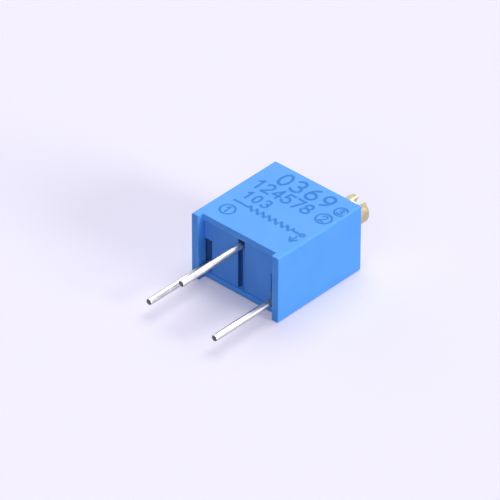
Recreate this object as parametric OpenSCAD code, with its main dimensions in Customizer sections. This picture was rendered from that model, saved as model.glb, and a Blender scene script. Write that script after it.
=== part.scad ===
// Square multi-turn trimmer potentiometer, quarter-inch size, in millimetres.
// It lies on its wide face as in use on a bench: +Z is up, the pins point along -Y
// and the adjusting screw along +Y. The origin is the centre of the resting face.
// Inside, the screw's worm turns a toothed wheel that sweeps a spring wiper round
// a printed resistor on a ceramic plate.

/* [Body] */
// Width of the body, along the row of pins
body_w = 6.71; // [6.6:0.01:7.0]
// Length of the body, from the feet to the screw end
body_l = 7.11; // [7.05:0.01:7.5]
// Thickness of the body, from the resting face to the marked face
body_t = 4.5; // [4.45:0.01:4.8]
// Thickness of the two side walls, which run on as feet
side_wall = 0.52; // [0.48:0.01:0.53]
// Thickness of the two wide walls
face_wall = 0.45; // [0.40:0.01:0.46]
// Thickness of the wall at the screw end
end_wall = 0.75; // [0.70:0.01:0.78]
// How far the marked wall stops short of the feet
top_setback = 0.38; // [0.30:0.01:0.45]
// How far the resting wall stops short of the feet
bottom_setback = 0.42; // [0.30:0.01:0.45]
// Radius of the body's long edges
edge_r = 0.12; // [0.05:0.01:0.20]

/* [Base plug] */
// Depth of the plug's face behind the feet
plug_recess = 0.54; // [0.48:0.01:0.56]
// Thickness of the plug
plug_t = 0.91; // [0.88:0.01:0.94]
// Clearance of the plug in the body, all round
plug_gap = 0.01; // [0.005:0.005:0.02]
// Width of the slots for the pins
slot_w = 0.52; // [0.48:0.01:0.56]
// How far the outer slots reach below their pins
slot_below = 0.43; // [0.38:0.01:0.46]
// How far the outer slots reach above the wires inside
slot_above = 0.05; // [0.03:0.01:0.08]
// How far the middle opening reaches below its pin
window_below = 0.42; // [0.36:0.01:0.48]
// How far the middle opening reaches above its pin
window_above = 0.41; // [0.34:0.01:0.44]
// Depth of the shallow groove below the middle opening
groove_depth = 0.30; // [0.20:0.01:0.34]
// Thickness of the potting at the back of the slots
potting_t = 0.45; // [0.42:0.01:0.48]

/* [Pins] */
// Distance of the outer pins from the sides of the body
pin_inset = 0.815; // [0.79:0.005:0.83]
// Distance of each row of pins from the nearer wide face
row_inset = 0.98; // [0.94:0.01:1.02]
// Diameter of the tinned pins
pin_d = 0.41; // [0.38:0.01:0.44]
// Thickness of the tin on the pins
tin_t = 0.005; // [0.003:0.001:0.010]
// Length of the pins beyond the feet
pin_reach = 4.45; // [3.0:0.05:6.0]
// Distance of the upright run of each pin from the back of the plug
jog_inset = 0.25; // [0.23:0.01:0.27]
// Radius of the bends in the pins
bend_r = 0.35; // [0.30:0.01:0.38]
// Length of the soldered ends of the pins over the ceramic plate
lap_l = 0.57; // [0.47:0.01:0.62]

/* [Adjusting screw] */
// Distance of the screw's axis from the side of the body
screw_inset = 1.22; // [1.20:0.01:1.25]
// Distance of the screw's axis from the marked face
screw_drop = 1.27; // [1.25:0.01:1.29]
// Diameter of the screw's head
head_d = 1.82; // [1.70:0.01:1.84]
// How far the head stands out of the body
head_reach = 1.05; // [0.60:0.01:1.20]
// How far the head reaches into the body
head_depth = 0.44; // [0.40:0.01:0.46]
// Width of the screwdriver slot
drive_w = 0.50; // [0.40:0.01:0.60]
// Depth of the screwdriver slot
drive_depth = 0.60; // [0.40:0.01:0.70]
// Direction of the screwdriver slot from the pin row, in degrees
drive_angle = 68; // [0:1:180]
// Chamfer of the head
head_chamfer = 0.06; // [0.02:0.01:0.10]
// Radial clearance of the turning screw
screw_gap = 0.04; // [0.03:0.005:0.05]
// Diameter of the neck under the sealing ring
neck_d = 1.00; // [0.96:0.01:1.04]
// Width of the groove for the sealing ring
ring_groove_w = 0.50; // [0.49:0.01:0.51]
// Thickness of the sealing ring
ring_d = 0.43; // [0.41:0.01:0.43]
// Length of the journal behind the sealing ring
journal_l = 0.39; // [0.37:0.01:0.41]
// Width of the groove for the retaining clip
clip_groove_w = 0.24; // [0.23:0.01:0.25]
// Thickness of the retaining clip
clip_t = 0.18; // [0.16:0.01:0.18]
// Length of the collar between the clip and the worm
collar_l = 0.24; // [0.20:0.01:0.28]
// Radius of the collar
collar_r = 0.60; // [0.50:0.01:0.64]
// Radius of the tail journal
tail_r = 0.33; // [0.30:0.01:0.34]
// How far the tail reaches into the plug
tail_depth = 0.40; // [0.35:0.01:0.42]
// Outer radius of the tail's bearing boss
tail_boss_r = 0.55; // [0.50:0.01:0.57]
// Length of the bearing boss inside the plug
tail_boss_l = 0.90; // [0.75:0.01:0.93]
// Gap between the bearing boss and the worm
worm_gap = 0.10; // [0.05:0.01:0.20]

/* [Worm and wheel] */
// Teeth on the wheel
wheel_teeth = 16; // [14:1:18]
// Pitch radius of the worm
worm_pitch_r = 0.52; // [0.51:0.005:0.53]
// Height of a tooth above the pitch circle
addendum = 0.145; // [0.12:0.005:0.15]
// Depth of a tooth below the pitch circle
dedendum = 0.19; // [0.185:0.005:0.20]
// Play between a tooth and the thread at the pitch circle
backlash = 0.139; // [0.12:0.001:0.20]
// Pressure angle of the teeth, in degrees
pressure_angle = 20; // [14:1:22]
// Gap between the wheel and the side wall
wheel_side_gap = 0.081; // [0.08:0.001:0.10]
// Gap between the wheel and the plug
wheel_front_gap = 0.143; // [0.14:0.001:0.16]
// Gap between the wheel and the screw end wall
wheel_back_gap = 0.253; // [0.20:0.001:0.26]
// Gap between the wheel and the corner of the retaining clip
wheel_clip_gap = 0.14; // [0.10:0.01:0.14]
// Thickness of the wheel
wheel_face = 0.96; // [0.90:0.01:0.96]
// Radius of the wheel's fixed pivot
pivot_r = 0.50; // [0.45:0.01:0.55]
// Radial clearance of the wheel on its pivot
pivot_gap = 0.03; // [0.02:0.005:0.05]
// Radius of the shoulder above the wheel
shoulder_r = 0.85; // [0.75:0.01:0.95]
// Axial clearance above the wheel
shoulder_gap = 0.03; // [0.02:0.01:0.05]

/* [Resistor] */
// Height between the ceramic plate and the wheel, for the wiper
wiper_room = 0.51; // [0.50:0.01:0.53]
// Thickness of the ceramic plate
plate_t = 0.50; // [0.45:0.01:0.60]
// Clearance round the ceramic plate
plate_gap = 0.035; // [0.02:0.005:0.05]
// Thickness of the printed films
film_t = 0.03; // [0.02:0.005:0.03]
// Mean radius of the resistor track
track_r = 1.25; // [1.15:0.01:1.30]
// Width of the resistor track
track_w = 0.42; // [0.36:0.01:0.46]
// Mean radius of the collector ring
collector_r = 0.47; // [0.44:0.01:0.50]
// Width of the collector ring
collector_w = 0.30; // [0.24:0.01:0.34]
// Width of the printed leads
lead_w = 0.36; // [0.30:0.01:0.42]
// Turning range of the wheel, in degrees
wheel_travel = 270; // [240:5:280]
// Thickness of the wiper's sheet
wiper_t = 0.08; // [0.06:0.01:0.09]
// Radius of the wiper's disc
wiper_r = 0.95; // [0.85:0.01:1.00]
// Height of the wiper's contacts above the films
contact_gap = 0.01; // [0.005:0.005:0.02]
// Radius of the solder mounds
solder_r = 0.36; // [0.30:0.01:0.38]

/* [Hidden] */
$fn = 64;
over = 0.5;

housing_blue = [0.30, 0.58, 0.95];
plug_blue = [0.26, 0.52, 0.90];
brass = [0.80, 0.64, 0.30];
tin = [0.78, 0.79, 0.82];
wheel_ivory = [0.90, 0.89, 0.84];

// The cavity inside the housing
cavity_x = body_w / 2 - side_wall;
cavity_low = face_wall;
cavity_high = body_t - face_wall;
cavity_y = body_l - end_wall;
plug_back = plug_recess + plug_t;

// Stations along the screw, measured from the feet
screw_x = body_w / 2 - screw_inset;
screw_z = body_t - screw_drop;
head_in = body_l - head_depth;
ring_low = head_in - ring_groove_w;
journal_low = ring_low - journal_l;
clip_low = journal_low - clip_groove_w;
clip_y = clip_low + (clip_groove_w - clip_t) / 2;
block_y = clip_y + clip_t;
worm_high = clip_low - collar_l;
tail_boss_y = plug_back + tail_boss_l;
worm_low = tail_boss_y + worm_gap;
worm_l = worm_high - worm_low;
tail_y = plug_back - tail_depth;
bore_r = head_d / 2 + screw_gap;
clip_x = screw_x - bore_r;
block_land = 0.22;
ring_gap = 0.01;

// The wheel is as large as its room allows: across to the side wall, along to the end wall,
// and past the corner of the clip, whose distance from the wheel's axis shrinks as the wheel grows
room_across = (screw_x + cavity_x - worm_pitch_r + addendum - wheel_side_gap) / 2;
room_along = (cavity_y - wheel_back_gap - plug_back - wheel_front_gap) / 2;
corner_x = clip_x - screw_x + worm_pitch_r - addendum;
corner_y = clip_y - plug_back - wheel_front_gap;
corner_b = corner_y - corner_x + wheel_clip_gap;
corner_c = corner_x * corner_x + corner_y * corner_y - wheel_clip_gap * wheel_clip_gap;
room_corner = corner_b - sqrt(corner_b * corner_b - corner_c);
wheel_r = min(room_across, room_along, room_corner);
wheel_pitch_r = wheel_r - addendum;
wheel_root_r = wheel_pitch_r - dedendum;
wheel_x = screw_x - worm_pitch_r - wheel_pitch_r;
wheel_y = plug_back + wheel_front_gap + wheel_r;
wheel_low = screw_z - wheel_face / 2;
wheel_high = screw_z + wheel_face / 2;
pivot_short = 0.20;
pivot_low = wheel_low + pivot_short;

// The worm drive
lead = 2 * PI * wheel_pitch_r / wheel_teeth;
tooth_t = (lead - backlash) / 2;
worm_r = worm_pitch_r + addendum;
worm_root_r = worm_pitch_r - dedendum;
lead_angle = atan(lead / (2 * PI * worm_pitch_r));
tooth_sunk = 0.15;

// The pegs under the wheel, and the wiper that they hold
peg_angles = [-30, 90, 210];
peg_ring_r = 0.74;
peg_r = 0.10;
peg_reach = 0.05;
peg_gap = 0.01;
finger_w = 0.10;
outer_finger_pitch = 0.14;
inner_finger_pitch = 0.15;
outer_tab_x = 0.62;
outer_tab_l = 0.30;
outer_tab_edge = 0.20;
inner_tab_x = 0.60;
inner_tab_step = 0.18;
inner_window_x = 0.36;
inner_window_half = 0.17;
tab_lap = 0.02;
finger_bend = 0.08;
toe_l = 0.04;
toe_rise = 0.12;

// The resistor plate and what is printed on it
plate_top = wheel_low - wiper_room;
film_top = plate_top + film_t;
plate_front_gap = 0.08;
plate_front = plug_back + plate_front_gap;
plate_back = clip_y - plate_gap;
ledge_w = 0.38;
track_start = 90 - wheel_travel / 2;
track_end = 90 + wheel_travel / 2;
end_overlap = 8;
pad_inset = 0.37;
pad_y = plate_front + pad_inset;
pad_l = 0.64;
pad_w = 0.70;

// The pins and their slots
pin_x = body_w / 2 - pin_inset;
pin_low = row_inset;
pin_high = body_t - row_inset;
wire_r = pin_d / 2 - tin_t;
wire_z = film_top + wire_r;
jog_y = plug_back - jog_inset;
lap_y = plate_front + lap_l;
slot_low = pin_low - slot_below;
slot_high = wire_z + wire_r + slot_above;
window_low = pin_high - window_below;
window_high = pin_high + window_above;
potting_y = plug_back - potting_t;
mould_blind = 0.05;

// Places a shape on a length axis that is counted from the feet
module from_feet() { translate([0, -body_l / 2, 0]) children(); }

// A rod along Y from one station to another
module rod(x, z, r, y_low, y_high) {
    translate([x, y_low, z]) rotate([-90, 0, 0]) cylinder(r = r, h = y_high - y_low);
}

// A box given by its low and high corners
module block(low, high) { translate(low) cube(high - low); }

// A bar along Y with four round edges
module round_bar(half_w, height, length, r) {
    block([-half_w + r, 0, 0], [half_w - r, length, height]);
    block([-half_w, 0, r], [half_w, length, height - r]);
    for (x = [-half_w + r, half_w - r], z = [r, height - r]) rod(x, z, r, 0, length);
}

// Housing: a moulded box open towards the pins, whose side walls run on as feet
module housing() color(housing_blue) from_feet() {
    difference() {
        round_bar(body_w / 2, body_t, body_l, edge_r);
        difference() {
            block([-cavity_x, -over, cavity_low], [cavity_x, cavity_y, cavity_high]);
            housing_inside();
        }
        block([-cavity_x, -over, cavity_high - over], [cavity_x, top_setback, body_t + over]);
        block([-cavity_x, -over, -over], [cavity_x, bottom_setback, cavity_low + over]);
        rod(screw_x, screw_z, bore_r, block_y - over, body_l + over);
    }
}

// What the mould leaves standing inside the housing
module housing_inside() {
    // ledges under the ceramic plate
    for (side = [-1, 1])
        block([side > 0 ? cavity_x - ledge_w : -cavity_x - over, plug_back, cavity_low - over],
              [side > 0 ? cavity_x + over : -cavity_x + ledge_w, cavity_y + over, plate_top - plate_t]);
    // stop behind the ceramic plate
    block([-cavity_x - over, plate_back + plate_gap, cavity_low - over],
          [clip_x, cavity_y + over, plate_top]);
    // bearing block of the screw
    block([clip_x - block_land, block_y, cavity_low - over],
          [cavity_x + over, cavity_y + over, cavity_high + over]);
    // pivot of the wheel, with its shoulder
    translate([wheel_x, wheel_y, pivot_low]) cylinder(r = pivot_r, h = cavity_high + over - pivot_low);
    translate([wheel_x, wheel_y, wheel_high + shoulder_gap])
        cylinder(r = shoulder_r, h = cavity_high + over - wheel_high - shoulder_gap);
}

// Base plug: closes the open end, and carries the pins and the tail of the screw
module base_plug() color(plug_blue) from_feet() difference() {
    union() {
        block([-cavity_x + plug_gap, plug_recess, cavity_low + plug_gap],
              [cavity_x - plug_gap, plug_back, cavity_high - plug_gap]);
        rod(screw_x, screw_z, tail_boss_r, plug_back - over / 2, tail_boss_y);
    }
    for (side = [-1, 1])
        block([side > 0 ? pin_x - slot_w / 2 : -cavity_x - over, plug_recess - over, slot_low],
              [side > 0 ? cavity_x + over : -pin_x + slot_w / 2, plug_back + over, slot_high]);
    // opening for the middle pin, the hidden slot behind it and the shallow groove below it
    block([-slot_w / 2, plug_recess - over, window_low], [slot_w / 2, plug_back + over, window_high]);
    block([-slot_w / 2, potting_y, plate_top], [slot_w / 2, plug_back + over, window_high]);
    block([-slot_w / 2, plug_recess - over, cavity_low - over],
          [slot_w / 2, plug_recess + groove_depth, window_low + over / 5]);
    rod(screw_x, screw_z, tail_r + screw_gap, tail_y - mould_blind, tail_boss_y + over);
}

// Potting that seals the back of the three slots round the pins
module slot_potting() color([0.05, 0.07, 0.12]) from_feet() {
    for (side = [-1, 1]) difference() {
        block([side > 0 ? pin_x - slot_w / 2 : -cavity_x + plug_gap, potting_y, slot_low],
              [side > 0 ? cavity_x - plug_gap : -pin_x + slot_w / 2, plug_back, slot_high]);
        pin_wire(side * pin_x, pin_low);
    }
    difference() {
        block([-slot_w / 2, potting_y, plate_top], [slot_w / 2, plug_back, window_high]);
        pin_wire(0, pin_high);
    }
}

// A quarter bend in the YZ plane, from the angle given, round the centre given
module quarter_bend(x, y, z, start) {
    translate([x, y, z]) rotate([0, 90, 0]) rotate([0, 0, start])
        rotate_extrude(angle = 90) translate([bend_r, 0]) circle(r = wire_r);
}

// The hidden part of a pin: in through its slot, up or down, and along the ceramic plate
module pin_wire(x, z_out) {
    down = z_out < wire_z;
    turn = down ? 1 : -1;
    translate([x, 0, z_out]) rotate([-90, 0, 0])
        cylinder(r1 = pin_d / 2, r2 = wire_r, h = jog_y - bend_r);
    quarter_bend(x, jog_y - bend_r, z_out + turn * bend_r, down ? 0 : 90);
    translate([x, jog_y, min(z_out, wire_z) + bend_r])
        cylinder(r = wire_r, h = abs(z_out - wire_z) - 2 * bend_r);
    quarter_bend(x, jog_y + bend_r, wire_z - turn * bend_r, down ? 180 : 270);
    rod(x, wire_z, wire_r, jog_y + bend_r, lap_y);
}

// A whole pin, tinned and straight outside
module terminal_pin(x, z_out) color(tin) from_feet() {
    rod(x, z_out, pin_d / 2, -pin_reach, 0);
    pin_wire(x, z_out);
}
module terminal_pin_1() { terminal_pin(-pin_x, pin_low); }
module terminal_pin_2() { terminal_pin(0, pin_high); }
module terminal_pin_3() { terminal_pin(pin_x, pin_low); }

// A solder mound over the end of a pin
module solder_joint(x, z_out) color([0.72, 0.73, 0.76]) from_feet() difference() {
    intersection() {
        translate([x, pad_y, film_top]) sphere(r = solder_r);
        block([x - over, pad_y - over, film_top], [x + min(over, cavity_x - plate_gap - x), pad_y + over, body_t]);
        block([max(x - over, plate_gap - cavity_x), pad_y - over, film_top], [x + over, pad_y + over, body_t]);
    }
    pin_wire(x, z_out);
}
module solder_joint_1() { solder_joint(-pin_x, pin_low); }
module solder_joint_2() { solder_joint(0, pin_high); }
module solder_joint_3() { solder_joint(pin_x, pin_low); }

// The thread, ring by ring: its height grows out of the core and runs out again over a quarter turn
thread_steps = 28;
run_out = thread_steps / 4;
flank = tan(pressure_angle);
thread_sunk = 0.04;
thread_start = 0.02;
sunk_r = worm_root_r - thread_sunk;
function half_t(r) = tooth_t / 2 + (worm_pitch_r - r) * flank;
thread_low = worm_low + half_t(sunk_r);
thread_rings = floor((worm_l - 2 * half_t(sunk_r)) / lead * thread_steps);
function thread_height(k) = min(1, k / run_out, (thread_rings - k) / run_out);
function thread_tip(k) = worm_root_r - thread_start + (worm_r - worm_root_r + thread_start) * thread_height(k);
// Where the thread starts, so that one of its gaps faces the wheel's first tooth
start_turn = 270 + 360 * (thread_low - wheel_y + lead / 2) / lead;
function ring_points(k) =
    let (turn = start_turn + 360 * k / thread_steps,
         y = thread_low + lead * k / thread_steps,
         tip = thread_tip(k))
    [for (p = [[sunk_r, -1], [tip, -1], [tip, 1], [sunk_r, 1]])
        [p[0] * sin(turn), y + p[1] * half_t(p[0]), p[0] * cos(turn)]];

// Worm thread: a trapezium carried along a right-hand helix
module worm_thread() {
    points = [for (k = [0 : thread_rings]) each ring_points(k)];
    last = 4 * thread_rings;
    faces = concat(
        [[3, 2, 1, 0]],
        [for (k = [0 : thread_rings - 1], i = [0 : 3])
            each [[4 * k + i, 4 * k + (i + 1) % 4, 4 * k + 4 + i],
                  [4 * k + 4 + i, 4 * k + (i + 1) % 4, 4 * k + 4 + (i + 1) % 4]]],
        [[last, last + 1, last + 2, last + 3]]);
    polyhedron(points = points, faces = faces, convexity = 8);
}

// Adjusting screw: slotted head, groove for the sealing ring, journal, groove for the clip, worm and tail
module adjusting_screw() color(brass) from_feet() {
    difference() {
        union() {
            rod(screw_x, screw_z, head_d / 2, head_in, body_l + head_reach - head_chamfer);
            translate([screw_x, body_l + head_reach - head_chamfer, screw_z]) rotate([-90, 0, 0])
                cylinder(r1 = head_d / 2, r2 = head_d / 2 - head_chamfer, h = head_chamfer);
        }
        translate([screw_x, body_l + head_reach - drive_depth, screw_z]) rotate([0, -drive_angle, 0])
            block([-head_d, 0, -drive_w / 2], [head_d, drive_depth + over, drive_w / 2]);
    }
    rod(screw_x, screw_z, neck_d / 2, ring_low, head_in);
    rod(screw_x, screw_z, head_d / 2, journal_low, ring_low);
    rod(screw_x, screw_z, worm_root_r, clip_low, journal_low);
    rod(screw_x, screw_z, collar_r, worm_high, clip_low);
    rod(screw_x, screw_z, worm_root_r, worm_low, worm_high);
    rod(screw_x, screw_z, tail_r, tail_y, worm_low);
    translate([screw_x, 0, screw_z]) worm_thread();
}

// Sealing ring in the screw's groove
module o_ring() color([0.10, 0.10, 0.11]) from_feet()
    translate([screw_x, (ring_low + head_in) / 2, screw_z]) rotate([-90, 0, 0])
        rotate_extrude() translate([neck_d / 2 + ring_d / 2 + ring_gap, 0]) circle(d = ring_d);

// Retaining clip: a fork in the screw's inner groove, against the bearing block
module retaining_clip() color([0.70, 0.71, 0.73]) from_feet() difference() {
    block([clip_x, clip_y, plate_top + plate_gap],
          [cavity_x - plug_gap, block_y, cavity_high - plug_gap]);
    rod(screw_x, screw_z, worm_root_r + screw_gap, clip_y - over, block_y + over);
    block([screw_x - worm_root_r - screw_gap, clip_y - over, 0],
          [screw_x + worm_root_r + screw_gap, block_y + over, screw_z]);
}

// One wheel tooth: a trapezium slab, leaning over by the worm's lead angle
module wheel_tooth() {
    root = wheel_root_r - tooth_sunk;
    tip_half = tooth_t / 2 - addendum * flank;
    root_half = tooth_t / 2 + (wheel_pitch_r - root) * flank;
    rotate([-lead_angle, 0, 0]) translate([0, 0, -wheel_face])
        linear_extrude(height = 2 * wheel_face)
            polygon([[root, -root_half], [wheel_r, -tip_half], [wheel_r, tip_half], [root, root_half]]);
}

// Wheel: sixteen leaning teeth on a disc that turns on the housing's pivot
module worm_wheel() color(wheel_ivory) from_feet() translate([wheel_x, wheel_y, 0]) {
    difference() {
        union() {
            translate([0, 0, wheel_low]) cylinder(r = wheel_root_r, h = wheel_face);
            intersection() {
                translate([0, 0, wheel_low]) cylinder(r = wheel_r, h = wheel_face);
                for (i = [0 : wheel_teeth - 1])
                    rotate([0, 0, 360 / wheel_teeth * i]) translate([0, 0, screw_z]) wheel_tooth();
            }
        }
        translate([0, 0, wheel_low - over]) cylinder(r = pivot_r + pivot_gap, h = wheel_face + 2 * over);
    }
    // pegs that hold the wiper
    for (a = peg_angles) rotate([0, 0, a])
        translate([peg_ring_r, 0, wheel_low - wiper_t - peg_reach]) cylinder(r = peg_r, h = wiper_t + peg_reach + over / 5);
}
// One wiper finger: a strip of spring sheet bent down to its contact, in the plane of its length
module wiper_finger(radius, reach) {
    top = wheel_low;
    tip = film_top + contact_gap;
    lean = wiper_t / sqrt(2);
    toe = reach + toe_l;
    translate([0, radius + finger_w / 2, 0]) rotate([90, 0, 0]) linear_extrude(height = finger_w)
        polygon([[0, top - wiper_t], [finger_bend, top - wiper_t], [reach - finger_bend, tip], [toe, tip],
                 [toe + toe_rise, tip + toe_rise], [toe + toe_rise - lean, tip + toe_rise + lean],
                 [toe - lean, tip + wiper_t], [finger_bend * 1.5, top], [0, top]]);
}

// Wiper: a sprung sheet under the wheel, with three fingers on the track and two on the collector
module wiper() color([0.86, 0.72, 0.42]) from_feet() translate([wheel_x, wheel_y, 0]) {
    difference() {
        union() {
            translate([0, 0, wheel_low - wiper_t]) cylinder(r = wiper_r, h = wiper_t);
            block([-outer_tab_x - outer_tab_l, 0, wheel_low - wiper_t],
                  [-outer_tab_x + tab_lap, track_r + outer_tab_edge, wheel_low]);
        }
        for (a = peg_angles) rotate([0, 0, a]) translate([peg_ring_r, 0, wheel_low - over])
            cylinder(r = peg_r + peg_gap, h = 2 * over);
        // window over the collector fingers
        block([-inner_window_x, -collector_r - inner_window_half, wheel_low - over],
              [inner_tab_x - inner_tab_step - tab_lap, -collector_r + inner_window_half, wheel_low + over]);
    }
    for (i = [-1, 0, 1])
        translate([-outer_tab_x, 0, 0]) wiper_finger(track_r + outer_finger_pitch * i, outer_tab_x - tab_lap);
    mirror([1, 0, 0]) for (i = [-0.5, 0.5])
        translate([-inner_tab_x + inner_tab_step, 0, 0])
            wiper_finger(-collector_r + inner_finger_pitch * i, inner_tab_x - inner_tab_step - tab_lap);
}

// Ceramic plate that carries the printed resistor
module ceramic_substrate() color([0.93, 0.93, 0.90]) from_feet()
    block([-cavity_x + plate_gap, plate_front, plate_top - plate_t], [cavity_x - plate_gap, plate_back, plate_top]);

// A printed lead from one point to another
module printed_lead(from, to) {
    run = to - from;
    side = [-run[1], run[0]] / norm(run) * lead_w / 2;
    translate([0, 0, plate_top]) linear_extrude(height = film_t)
        polygon([from - side, to - side, to + side, from + side]);
}

// A soldering pad under the end of a pin
module pad(x) {
    block([max(x - pad_w / 2, plate_gap * 2 - cavity_x), pad_y - pad_l / 2, plate_top],
          [min(x + pad_w / 2, cavity_x - plate_gap * 2), pad_y + pad_l / 2, film_top]);
}

// Resistor track: a printed arc as long as the wheel's travel
module resistive_track() color([0.13, 0.13, 0.14]) from_feet()
    translate([wheel_x, wheel_y, plate_top]) rotate([0, 0, track_start])
        rotate_extrude(angle = wheel_travel) translate([track_r - track_w / 2, 0]) square([track_w, film_t]);

// Collector: a ring under the inner fingers, led out to the middle pin
module collector_track() color([0.80, 0.80, 0.78]) from_feet() {
    difference() {
        union() {
            translate([wheel_x, wheel_y, plate_top]) cylinder(r = collector_r + collector_w / 2, h = film_t);
            printed_lead([wheel_x, wheel_y], [0, pad_y]);
            pad(0);
        }
        translate([wheel_x, wheel_y, plate_top - over]) cylinder(r = collector_r - collector_w / 2, h = 1);
    }
}

// Termination: a printed lead from one end of the track to its pad
module termination(x, angle) color([0.80, 0.80, 0.78]) from_feet() difference() {
    union() {
        printed_lead([wheel_x, wheel_y] + track_r * [cos(angle), sin(angle)], [x, pad_y]);
        pad(x);
    }
    translate([wheel_x, wheel_y, plate_top - over]) cylinder(r = track_r + track_w / 2, h = 1);
    block([-body_w, 0, 0], [-cavity_x + plate_gap * 2, body_l, body_t]);
    block([cavity_x - plate_gap * 2, 0, 0], [body_w, body_l, body_t]);
}
module termination_1() { termination(-pin_x + pad_w / 4, track_end - end_overlap); }
module termination_3() { termination(pin_x - pad_w / 4, track_start + end_overlap); }

housing();
base_plug();
slot_potting();
adjusting_screw();
o_ring();
retaining_clip();
worm_wheel();
wiper();
ceramic_substrate();
resistive_track();
collector_track();
termination_1();
termination_3();
terminal_pin_1();
terminal_pin_2();
terminal_pin_3();
solder_joint_1();
solder_joint_2();
solder_joint_3();
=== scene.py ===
"""Looks of the trimmer potentiometer. Shapes are worked out in millimetres, with the length counted
from the feet as in part.scad, and put into the frame when a piece is made."""

import math

import bpy
import numpy as np
from mathutils import Matrix, Vector


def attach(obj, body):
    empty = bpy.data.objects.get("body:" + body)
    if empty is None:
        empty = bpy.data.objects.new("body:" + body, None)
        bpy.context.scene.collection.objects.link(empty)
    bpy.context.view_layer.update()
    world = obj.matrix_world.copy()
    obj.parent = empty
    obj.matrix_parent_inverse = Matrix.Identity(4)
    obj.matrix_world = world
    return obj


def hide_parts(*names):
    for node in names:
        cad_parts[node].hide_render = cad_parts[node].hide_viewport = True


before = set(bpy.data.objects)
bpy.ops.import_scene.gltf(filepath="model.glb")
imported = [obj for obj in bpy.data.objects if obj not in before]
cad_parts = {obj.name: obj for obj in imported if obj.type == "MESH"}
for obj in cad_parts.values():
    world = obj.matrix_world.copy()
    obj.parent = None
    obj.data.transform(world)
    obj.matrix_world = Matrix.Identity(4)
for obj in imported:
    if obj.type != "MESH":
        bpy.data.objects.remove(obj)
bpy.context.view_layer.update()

# ---- Sizes, as in part.scad -------------------------------------------------------------------
BODY_W, BODY_L, BODY_T = 6.71, 7.11, 4.5
CAVITY_X, CAVITY_LOW, CAVITY_HIGH, CAVITY_Y = 2.835, 0.45, 4.05, 6.36
TOP_SETBACK, BOTTOM_SETBACK, EDGE_R = 0.38, 0.42, 0.12
PLUG_FRONT, PLUG_BACK, PLUG_GAP = 0.54, 1.45, 0.01
LEDGE_X, LEDGE_LOW, LEDGE_R = 2.455, 0.43, 0.02
SLOT_W, SLOT_LOW, SLOT_HIGH = 0.52, 0.55, 2.725
WINDOW_LOW, WINDOW_HIGH, GROOVE_DEPTH = 3.10, 3.93, 0.30
PLATE_TOP, PLATE_LOW, PLATE_STOP = 2.24, 1.74, 5.57
PIN_X, PIN_LOW, PIN_HIGH, PIN_R, WIRE_R, PIN_REACH = 2.54, 0.98, 3.52, 0.205, 0.20, 4.45
WIRE_Z, JOG_Y, BEND_R, LAP_Y = 2.47, 1.20, 0.35, 2.10
SCREW_X, SCREW_Z, HEAD_R, BORE_R = 2.135, 3.23, 0.91, 0.95
HEAD_IN, HEAD_OUT, HEAD_CHAMFER = 6.67, 8.16, 0.06
DRIVE_W, DRIVE_DEPTH, DRIVE_ANGLE = 0.50, 0.60, 68.0
BLOCK_X, BLOCK_Y, BORE_IN = 0.965, 5.75, 5.25
WHEEL_X, WHEEL_Y, PIVOT_R, PIVOT_LOW = -0.497, 3.85, 0.50, 2.95
SHOULDER_R, SHOULDER_LOW = 0.85, 3.74
WORM_LOW, WORM_HIGH, WORM_R, WORM_ROOT_R, WORM_PITCH_R, LEAD = 2.45, 5.30, 0.665, 0.33, 0.52, 0.8294
PRESSURE_ANGLE, MESH_GAP, THREAD_SUNK, THREAD_START, THREAD_STEPS = 20.0, 0.139, 0.04, 0.02, 28
COLLAR_R, CLIP_LOW, JOURNAL_LOW, RING_LOW, NECK_R = 0.60, 5.54, 5.78, 6.17, 0.50
TAIL_Y, TAIL_BOSS_R, TAIL_BORE_R, TAIL_BOSS_Y, TAIL_SEAT_Y = 1.05, 0.55, 0.37, 2.35, 1.02

# ---- Finer sizes of the dressed pieces ----------------------------------------------------------
# round edges: of the openings, of the end face, of the lower wall's front, and eased shoulders
LIP_R, END_R, NOSE_R, EASE = 0.045, 0.09, 0.20, 0.03
# the marked stretch of the upper face, its rows' spacing, and how deep the marking is sunk
MARKED_HIGH, MARKED_LOW, MARKED_STEP, MARK_DEPTH = 6.93, 0.89, 0.03, 0.022
# where the front and back halves of the plug's slots meet, and how thin its walls may get there
SLOT_SPLIT, SLOT_SKIN = 1.225, 0.01
# how deep the potting stands in the slots and window, and the thin dark sheet lining the groove, which is
# painted shade; then how far the potting rises up walls and wire, partly a real meniscus and partly painted
# shade, and how fast that rise falls off
RESIN_BACK, RESIN_OUTER, RESIN_WINDOW, SHADE_SHEET, SHADE_SHEET_BACK = 1.44, 0.84, 0.86, 0.012, 0.03
CREEP_AND_SHADE_OUTER, CREEP_AND_SHADE_WINDOW, SHADE_SHEET_RISE, CREEP_AND_SHADE_WIDTH, WIRE_CREEP_AND_SHADE_WIDTH = 0.22, 0.24, 0.26, 0.045, 0.05


# ---- Meshes -----------------------------------------------------------------------------------
def wrapped(rows, columns, close_rows=False, close_columns=True, first=0):
    """Four-cornered faces of a grid of points: each point joins its neighbours in the next row and
    column, and the last row or column joins the first where the grid closes on itself."""
    index = first + np.arange(rows * columns).reshape(rows, columns)
    if close_rows:
        index = np.vstack([index, index[:1]])
    if close_columns:
        index = np.hstack([index, index[:, :1]])
    return np.stack([index[:-1, :-1], index[:-1, 1:], index[1:, 1:], index[1:, :-1]], -1).reshape(-1, 4)


def shell(grid, close_rows=False):
    """A closed surface from a grid whose columns go round. Either its last row joins its first, or
    each end is closed by a fan to the middle of its ring."""
    rows, columns, _ = grid.shape
    points, faces = grid.reshape(-1, 3), [wrapped(rows, columns, close_rows)]
    if not close_rows:
        ring, after = np.arange(columns), np.roll(np.arange(columns), -1)
        last = (rows - 1) * columns
        faces.append(np.column_stack([after, ring, np.full(columns, len(points))]))
        faces.append(np.column_stack([last + ring, last + after, np.full(columns, len(points) + 1)]))
        points = np.vstack([points, grid[0].mean(0), grid[-1].mean(0)])
    return points, faces


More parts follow.
